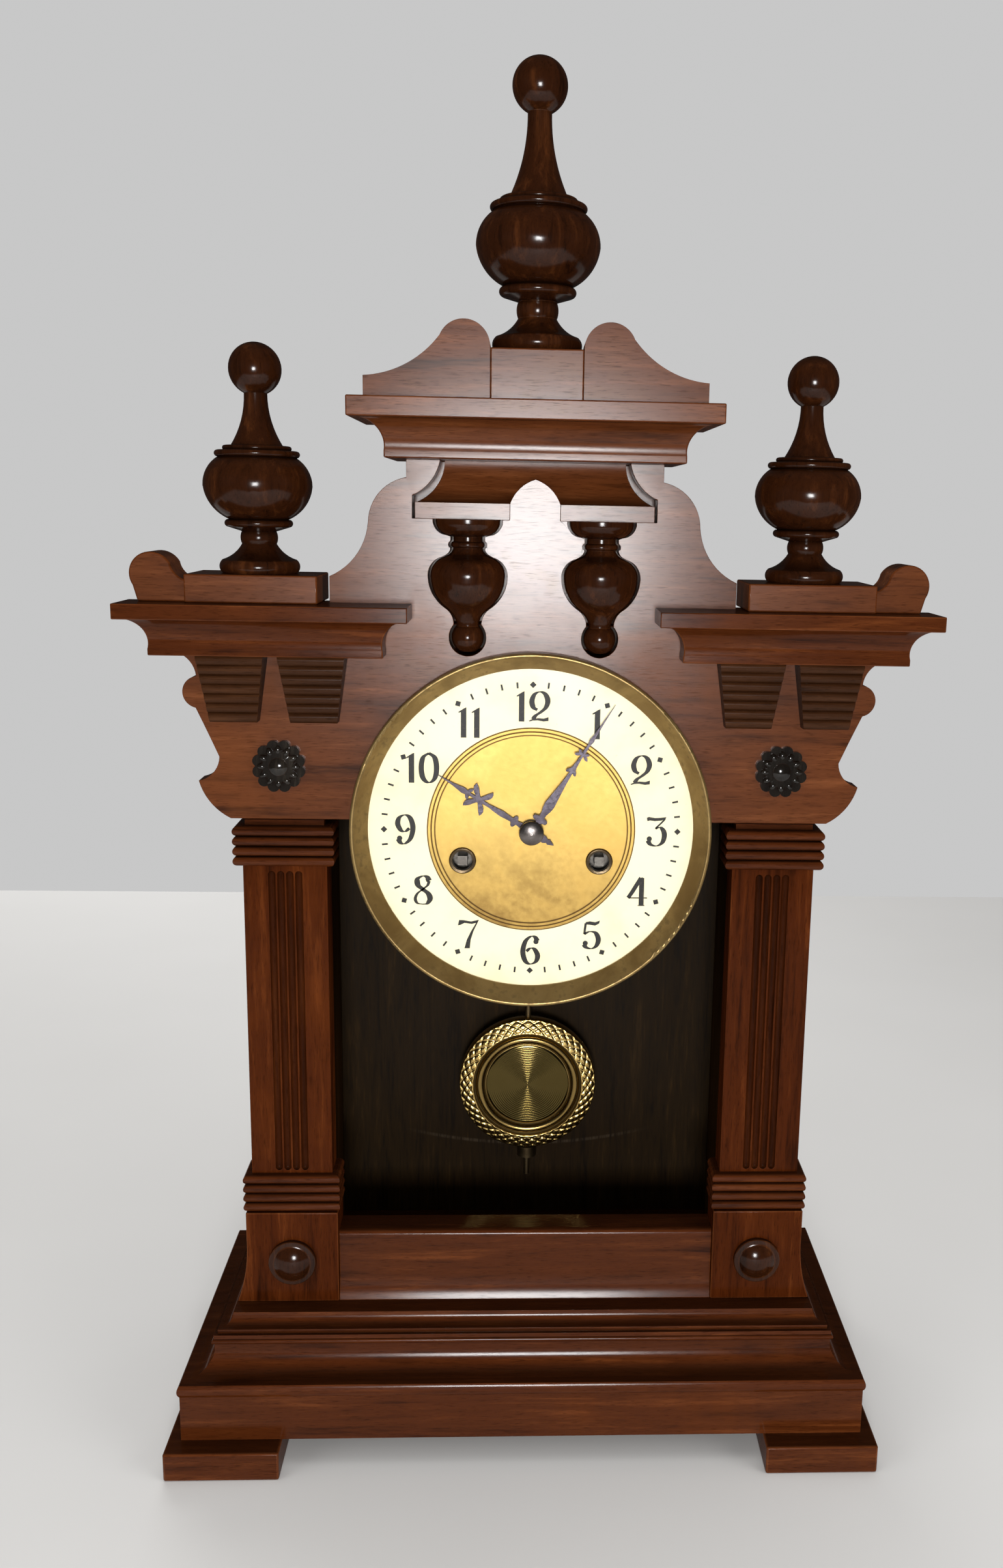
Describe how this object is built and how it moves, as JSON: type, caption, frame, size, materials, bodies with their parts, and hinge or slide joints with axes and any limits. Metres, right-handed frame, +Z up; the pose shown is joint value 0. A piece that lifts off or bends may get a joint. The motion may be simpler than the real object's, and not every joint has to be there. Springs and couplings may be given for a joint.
{
  "type": "table clock",
  "caption": "Steeple-shaped wooden table clock with turned finials, fluted pilasters, round dial, swinging pendulum and a spring-driven striking movement.",
  "frame": {"origin": "on the floor under the middle of the feet", "axes": "+X to the viewer's right as the dial is read, +Y to the back, +Z up"},
  "size_m": [0.3138, 0.136, 0.5548],
  "materials": {
    "stained_wood": "french polish",
    "turned_dark_wood": "gloss",
    "case_dark_wood": "satin",
    "bezel_brass": "aged",
    "dial_brass": "patinated",
    "dial_cream": "satin",
    "movement_brass": "satin",
    "movement_steel": "satin",
    "hand_steel": "satin"
  },
  "bodies": {
    "case": {"backboard": "case_dark_wood", "base_lower_board": "stained_wood", "base_plinth": "stained_wood", "base_upper_board": "stained_wood", "bezel": "bezel_brass", "case_sides": "case_dark_wood", "case_top": "case_dark_wood", "chapter_ring": "dial_cream", "crest_block": "case_dark_wood", "crest_moulding": "stained_wood", "crown_cornice": "stained_wood", "dial_centre": "dial_brass", "dial_pan": "dial_brass", "feet": "stained_wood", "finial_blocks": "stained_wood", "front_board": "stained_wood", "gong": "movement_steel", "lower_rail": "stained_wood", "movement_back_plate": "movement_brass", "movement_brackets": "movement_steel", "movement_front_plate": "movement_brass", "movement_pillars": "movement_brass", "pediment_scrolls": "stained_wood", "pendants": "turned_dark_wood", "pilaster_mouldings": "stained_wood", "pilaster_plinths": "stained_wood", "pilaster_shafts": "stained_wood", "plinth_buttons": "turned_dark_wood", "reed_brackets": "stained_wood", "rosettes": "turned_dark_wood", "scroll_ears": "stained_wood", "side_cornices": "stained_wood", "side_finials": "turned_dark_wood", "suspension_cock": "movement_brass", "top_finial": "turned_dark_wood", "winding_grommets": "dial_brass"},
    "minute_hand": {"minute_hand": "hand_steel", "hand_nut": "hand_steel", "cannon_pinion": "movement_steel"},
    "minute_wheel": {"minute_wheel": "movement_brass"},
    "hour_hand": {"hour_hand": "hand_steel", "hour_wheel": "movement_brass"},
    "escape_wheel": {"escape_wheel": "movement_brass"},
    "third_wheel": {"third_wheel": "movement_brass"},
    "centre_wheel": {"centre_wheel": "movement_brass"},
    "time_barrel": {"time_barrel": "movement_brass", "time_mainspring": "movement_steel"},
    "strike_fly": {"strike_fly": "movement_brass"},
    "pin_wheel": {"pin_wheel": "movement_brass"},
    "strike_barrel": {"strike_barrel": "movement_brass", "strike_mainspring": "movement_steel"},
    "time_winding": {"time_winding_arbor": "movement_steel"},
    "strike_winding": {"strike_winding_arbor": "movement_steel"},
    "time_click": {"time_click": "movement_steel"},
    "strike_click": {"strike_click": "movement_steel"},
    "pendulum": {"pendulum_rod": "movement_steel", "pendulum_bob": "movement_brass"},
    "verge": {"verge": "movement_steel"},
    "rating_nut": {"rating_nut": "movement_brass"},
    "hammer": {"hammer": "movement_steel"}
  },
  "joints": [
    {"name": "minute_hand_turn", "type": "hinge", "parent": "case", "child": "minute_hand", "pos_m": [0, -0.025, 0.2636], "axis": [0, 1, 0], "continuous": true},
    {"name": "minute_wheel_turn", "type": "hinge", "parent": "case", "child": "minute_wheel", "pos_m": [0, -0.025, 0.2516], "axis": [0, 1, 0], "continuous": true},
    {"name": "hour_hand_turn", "type": "hinge", "parent": "case", "child": "hour_hand", "pos_m": [0, -0.025, 0.2636], "axis": [0, 1, 0], "continuous": true},
    {"name": "escape_wheel_turn", "type": "hinge", "parent": "case", "child": "escape_wheel", "pos_m": [0, 0.004, 0.2984], "axis": [0, 1, 0], "continuous": true},
    {"name": "third_wheel_turn", "type": "hinge", "parent": "case", "child": "third_wheel", "pos_m": [0.01137, 0.004, 0.2833], "axis": [0, 1, 0], "continuous": true},
    {"name": "centre_wheel_turn", "type": "hinge", "parent": "case", "child": "centre_wheel", "pos_m": [0, 0.004, 0.2636], "axis": [0, 1, 0], "continuous": true},
    {"name": "time_barrel_turn", "type": "hinge", "parent": "case", "child": "time_barrel", "pos_m": [0.0278, 0.004, 0.2508], "axis": [0, 1, 0], "continuous": true},
    {"name": "strike_fly_turn", "type": "hinge", "parent": "case", "child": "strike_fly", "pos_m": [-0.02462, 0.004, 0.29566], "axis": [0, 1, 0], "continuous": true},
    {"name": "pin_wheel_turn", "type": "hinge", "parent": "case", "child": "pin_wheel", "pos_m": [-0.03311, 0.004, 0.28094], "axis": [0, 1, 0], "continuous": true},
    {"name": "strike_barrel_turn", "type": "hinge", "parent": "case", "child": "strike_barrel", "pos_m": [-0.0278, 0.004, 0.2508], "axis": [0, 1, 0], "continuous": true},
    {"name": "time_winding_turn", "type": "hinge", "parent": "case", "child": "time_winding", "pos_m": [0.0278, 0.004, 0.2508], "axis": [0, 1, 0], "continuous": true},
    {"name": "strike_winding_turn", "type": "hinge", "parent": "case", "child": "strike_winding", "pos_m": [-0.0278, 0.004, 0.2508], "axis": [0, 1, 0], "continuous": true},
    {"name": "time_click_lift", "type": "hinge", "parent": "case", "child": "time_click", "pos_m": [0.03932, -0.013, 0.23928], "axis": [0, 1, 0], "range_deg": [0, 15]},
    {"name": "strike_click_lift", "type": "hinge", "parent": "case", "child": "strike_click", "pos_m": [-0.03932, -0.013, 0.23928], "axis": [0, -1, 0], "range_deg": [0, 15]},
    {"name": "pendulum_swing", "type": "hinge", "parent": "case", "child": "pendulum", "pos_m": [0, 0.032, 0.3196], "axis": [0, 1, 0], "range_deg": [-4, 4]},
    {"name": "verge_rock", "type": "hinge", "parent": "case", "child": "verge", "pos_m": [0, 0.004, 0.3196], "axis": [0, 1, 0], "range_deg": [-4, 4]},
    {"name": "rating_nut_turn", "type": "hinge", "parent": "pendulum", "child": "rating_nut", "pos_m": [0, 0.032, 0.0996], "axis": [0, 0, 1], "continuous": true},
    {"name": "hammer_lift", "type": "hinge", "parent": "case", "child": "hammer", "pos_m": [-0.041, 0.004, 0.2971], "axis": [0, 1, 0], "range_deg": [0, 12]}
  ],
  "couplings": [
    {"joint": "minute_wheel_turn", "follows": "minute_hand_turn", "ratio": -0.33333},
    {"joint": "hour_hand_turn", "follows": "minute_hand_turn", "ratio": 0.083333},
    {"joint": "third_wheel_turn", "follows": "escape_wheel_turn", "ratio": -0.090909},
    {"joint": "centre_wheel_turn", "follows": "escape_wheel_turn", "ratio": 0.0075758},
    {"joint": "time_barrel_turn", "follows": "escape_wheel_turn", "ratio": -0.0010101},
    {"joint": "pin_wheel_turn", "follows": "strike_fly_turn", "ratio": -0.13333},
    {"joint": "strike_barrel_turn", "follows": "strike_fly_turn", "ratio": 0.017778},
    {"joint": "verge_rock", "follows": "pendulum_swing", "ratio": 1}
  ]
}
